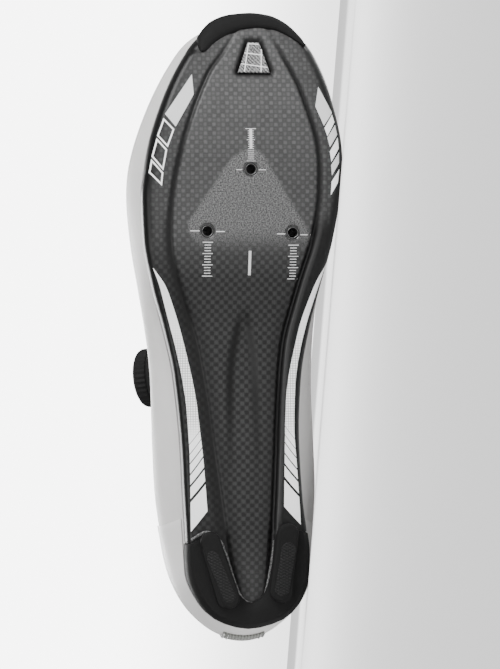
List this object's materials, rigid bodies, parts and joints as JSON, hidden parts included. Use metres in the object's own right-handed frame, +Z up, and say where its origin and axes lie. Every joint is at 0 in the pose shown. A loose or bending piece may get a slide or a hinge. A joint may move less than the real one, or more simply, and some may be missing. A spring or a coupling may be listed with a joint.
{
  "type": "cycling shoe",
  "caption": "Road cycling shoe for the right foot with a stiff grooved sole, rubber toe and heel bumpers, cleat holes, toe vent and a lace dial, lying on its inner side.",
  "frame": {"origin": "middle of the footprint on the floor that the shoe lies on", "axes": "+X towards the toe, -Y the way the sole faces, +Z up, towards the shoe's outer side"},
  "size_m": [0.287, 0.0976, 0.0982],
  "materials": {
    "shell": "dark carbon weave under clear coat",
    "bumper": "matt black rubber",
    "vent": "grey grit mesh",
    "steel": "bare threaded steel",
    "footbed": "dark felt",
    "upper": "pale microfibre, soft satin",
    "tongue": "padded pale fabric",
    "tape": "ribbed grey tape",
    "dial": "black moulded",
    "wire": "twisted steel wire",
    "guide": "black moulded"
  },
  "bodies": {
    "root": {"outsole": "shell", "toe_bumper": "bumper", "heel_bumper": "bumper", "vent_mesh": "vent", "cleat_insert_front": "steel", "cleat_insert_outer": "steel", "cleat_insert_inner": "steel", "insole": "footbed", "upper": "upper", "tongue": "tongue", "heel_tab": "tape", "dial_base": "dial", "dial_knob": "dial", "lace_wire": "wire", "wire_guide_inner_top": "guide", "wire_guide_outer_top": "guide", "wire_guide_inner_low": "guide", "wire_guide_outer_low": "guide"}
  },
  "joints": []
}
